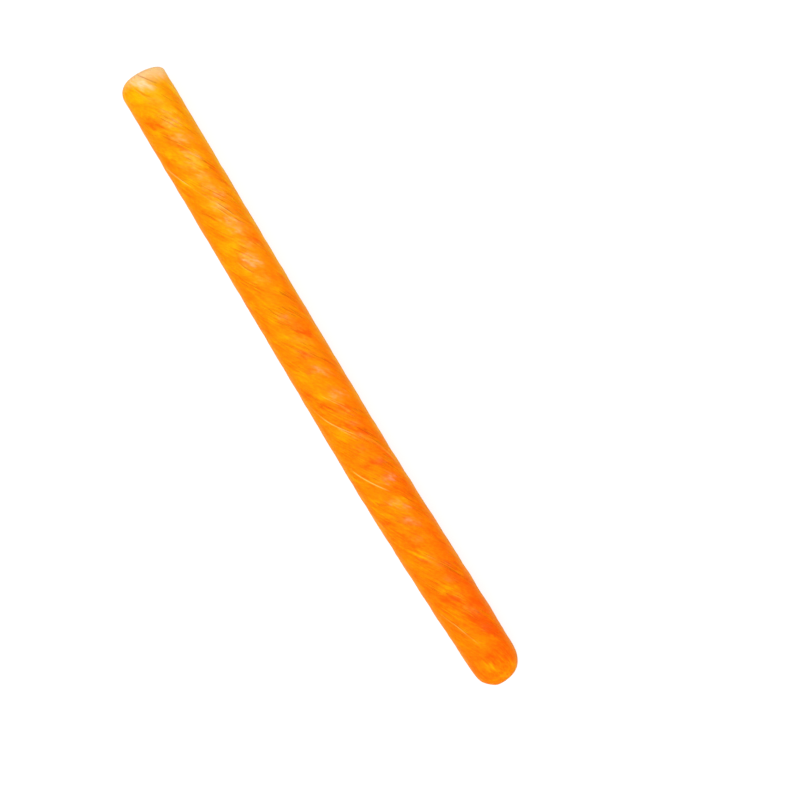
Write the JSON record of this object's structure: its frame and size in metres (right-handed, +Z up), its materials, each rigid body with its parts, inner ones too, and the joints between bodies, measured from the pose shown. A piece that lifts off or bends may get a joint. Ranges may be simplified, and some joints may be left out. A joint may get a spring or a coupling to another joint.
{
  "type": "candy stick",
  "caption": "Old-fashioned candy stick: a round rod of twisted, see-through orange sugar with slanting strands, a pale cut end and a darker rounded end, lying on its side.",
  "frame": {"origin": "on the surface that the stick lies on, under the middle of its box", "axes": "+X runs along the stick from its pale cut end to its darker rounded end, +Z is up, and the middle of the stick bows a little towards -Y"},
  "size_m": [0.127, 0.01, 0.0092],
  "materials": {
    "pulled_sugar": "translucent pulled sugar in slanting yellow and orange strands with a soft gloss, paler at the cut end and deeper orange at the rounded end"
  },
  "bodies": {
    "root": {"candy_stick": "pulled_sugar"}
  },
  "joints": []
}
